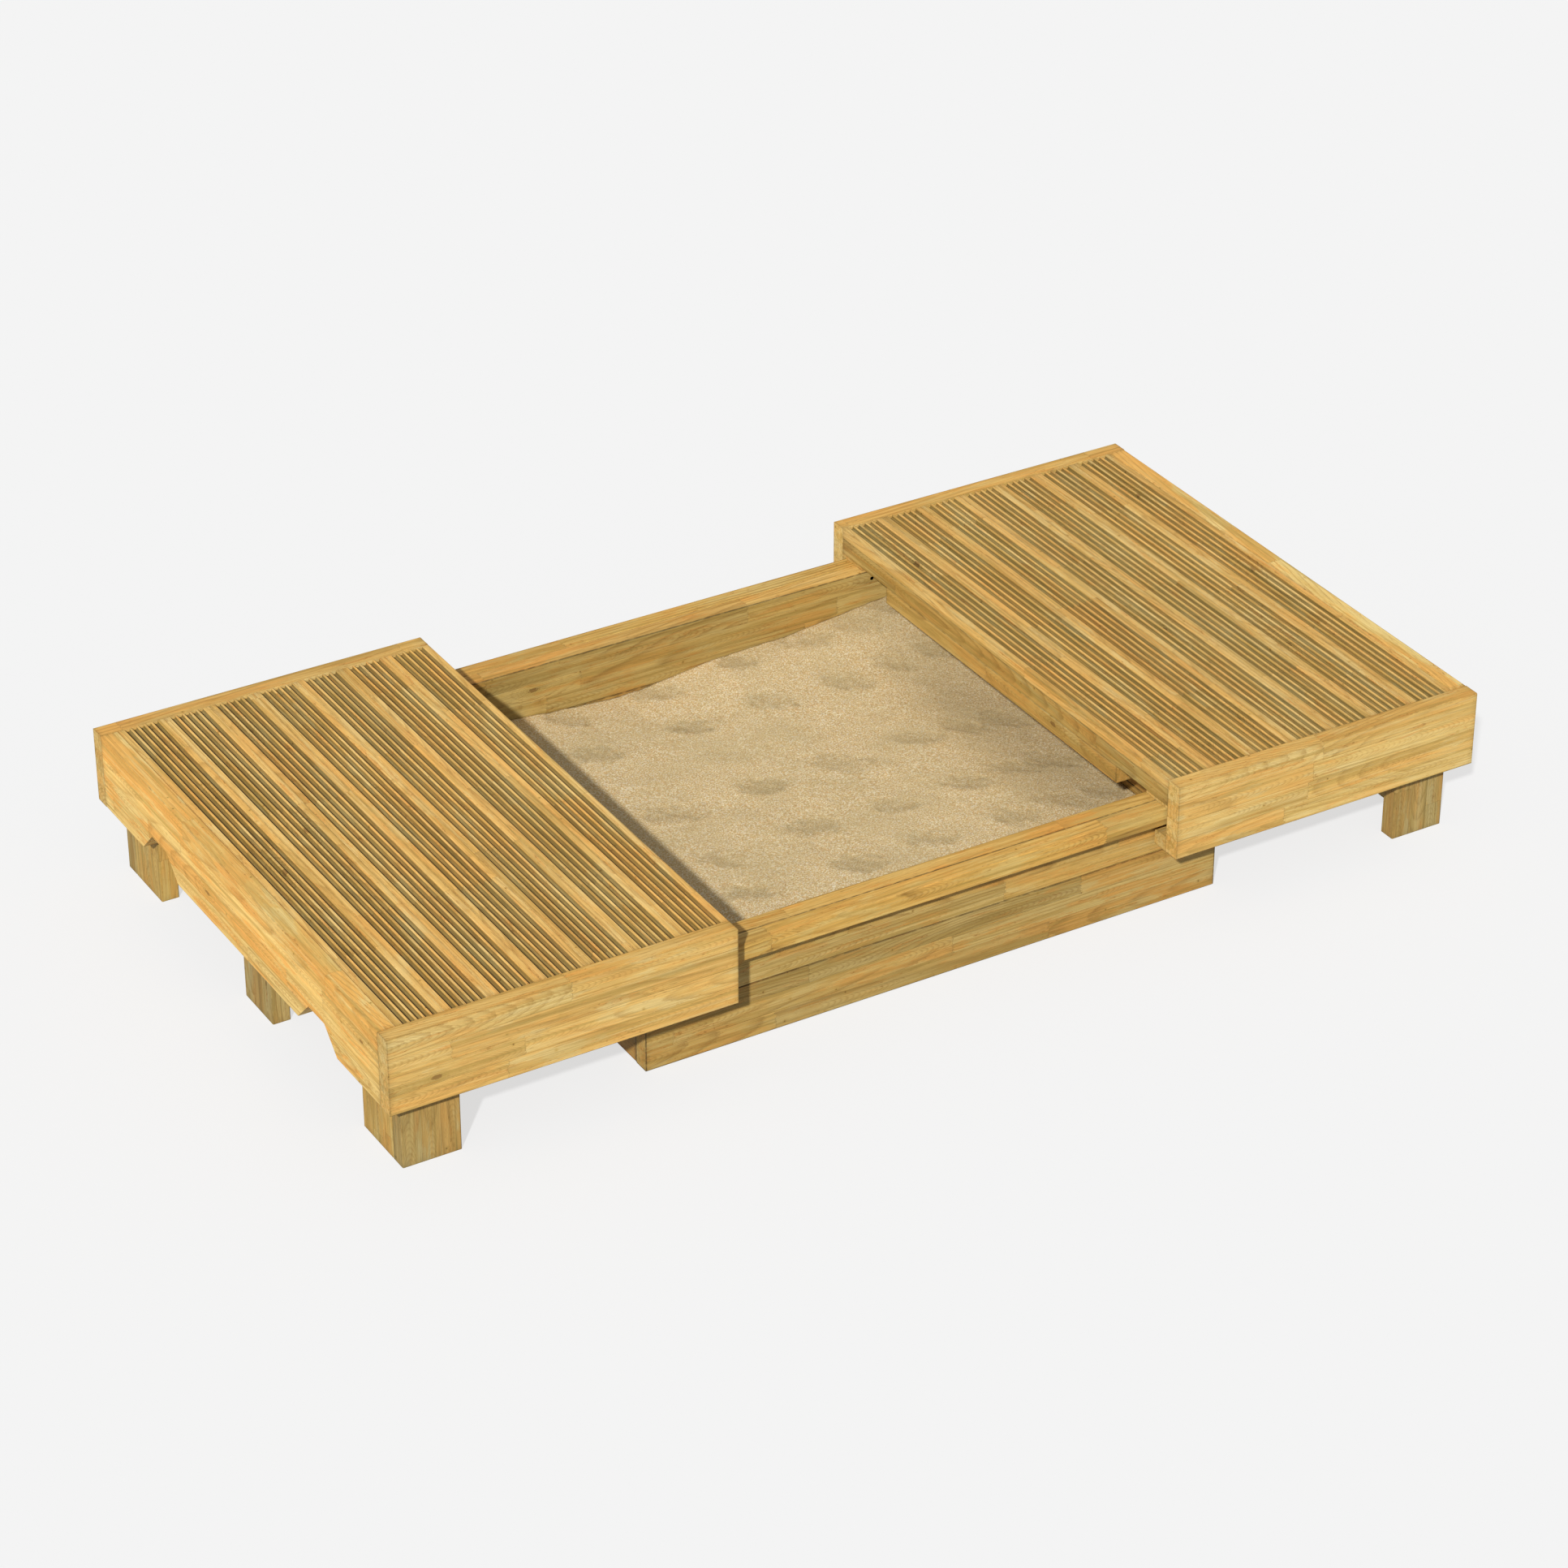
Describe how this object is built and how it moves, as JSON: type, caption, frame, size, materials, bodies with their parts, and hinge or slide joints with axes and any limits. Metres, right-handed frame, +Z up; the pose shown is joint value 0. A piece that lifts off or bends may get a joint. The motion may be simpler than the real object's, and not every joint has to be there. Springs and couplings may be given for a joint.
{
  "type": "sandbox with cover",
  "caption": "Timber sandbox with sliding covers of grooved decking on legs of their own, pushed apart over the sand.",
  "frame": {"origin": "on the ground under the middle of the box", "axes": "+X along the slide of the covers, to the right; +Y to the back; +Z up"},
  "size_m": [2.91, 1.54, 0.373],
  "materials": {
    "timber": "planed, pressure treated pine",
    "deck_timber": "grooved decking, pressure treated pine",
    "sand": "loose dry sand",
    "zinc_plated_steel": "zinc plated"
  },
  "bodies": {
    "box": {"back_rail": "timber", "back_wall_lower_board": "timber", "back_wall_upper_board": "timber", "box_screws": "zinc_plated_steel", "corner_posts": "timber", "front_rail": "timber", "front_wall_lower_board": "timber", "front_wall_upper_board": "timber", "left_wall_lower_board": "timber", "left_wall_upper_board": "timber", "right_wall_lower_board": "timber", "right_wall_upper_board": "timber", "sand": "sand"},
    "left_cover": {"left_back_ledger": "timber", "left_back_leg_end_plank": "timber", "left_back_leg_side_plank": "timber", "left_back_side_board": "timber", "left_cover_screws": "zinc_plated_steel", "left_cross_beam": "timber", "left_deck_board_1": "deck_timber", "left_deck_board_2": "deck_timber", "left_deck_board_3": "deck_timber", "left_deck_board_4": "deck_timber", "left_deck_board_5": "deck_timber", "left_deck_board_6": "deck_timber", "left_deck_board_7": "deck_timber", "left_front_ledger": "timber", "left_front_leg_end_plank": "timber", "left_front_leg_side_plank": "timber", "left_front_side_board": "timber", "left_inner_joist": "timber", "left_lift_cleats": "timber", "left_middle_joist": "timber", "left_middle_leg_plank": "timber", "left_outer_end_board": "timber", "left_runners": "timber"},
    "right_cover": {"right_back_ledger": "timber", "right_back_leg_end_plank": "timber", "right_back_leg_side_plank": "timber", "right_back_side_board": "timber", "right_cover_screws": "zinc_plated_steel", "right_cross_beam": "timber", "right_deck_board_1": "deck_timber", "right_deck_board_2": "deck_timber", "right_deck_board_3": "deck_timber", "right_deck_board_4": "deck_timber", "right_deck_board_5": "deck_timber", "right_deck_board_6": "deck_timber", "right_deck_board_7": "deck_timber", "right_front_ledger": "timber", "right_front_leg_end_plank": "timber", "right_front_leg_side_plank": "timber", "right_front_side_board": "timber", "right_inner_joist": "timber", "right_lift_cleats": "timber", "right_middle_joist": "timber", "right_middle_leg_plank": "timber", "right_outer_end_board": "timber", "right_runners": "timber"}
  },
  "joints": [
    {"name": "left_cover_slide", "type": "slide", "parent": "box", "child": "left_cover", "axis": [1, 0, 0], "range_m": [-0.092, 0.59]},
    {"name": "right_cover_slide", "type": "slide", "parent": "box", "child": "right_cover", "axis": [-1, 0, 0], "range_m": [-0.092, 0.59]}
  ]
}
